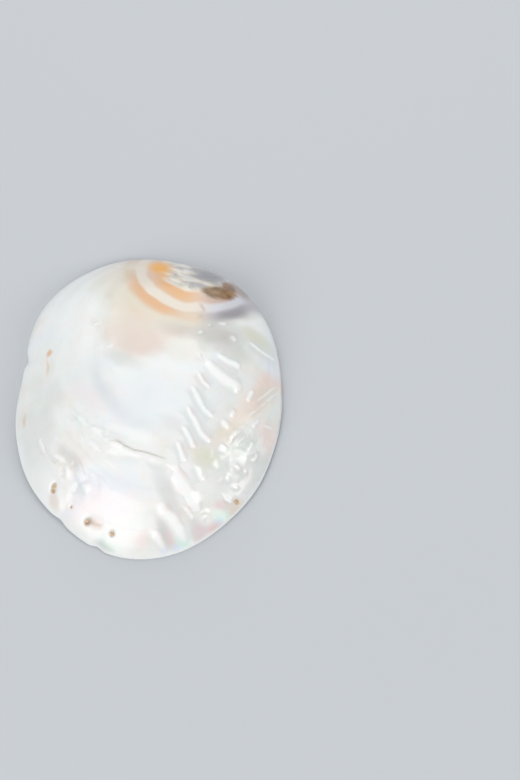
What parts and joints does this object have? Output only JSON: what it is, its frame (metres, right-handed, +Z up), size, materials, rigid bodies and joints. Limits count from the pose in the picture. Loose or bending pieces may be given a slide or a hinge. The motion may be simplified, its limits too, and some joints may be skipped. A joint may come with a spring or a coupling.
{
  "type": "pearl oyster shell valve",
  "caption": "One valve of a pearl shell, ground to polished mother-of-pearl: a domed oval plate, hollow beneath, with fanning folds, growth bands round the beak and a thin rounded lip.",
  "frame": {"origin": "on the rest plane, under the middle of the valve's box", "axes": "+Z up, out of the domed outer face; +Y along the valve's length, towards the hinge end; +X to the beak's side"},
  "size_m": [0.122, 0.1505, 0.0293],
  "materials": {
    "nacre": "polished"
  },
  "bodies": {
    "root": {"valve": "nacre"}
  },
  "joints": []
}
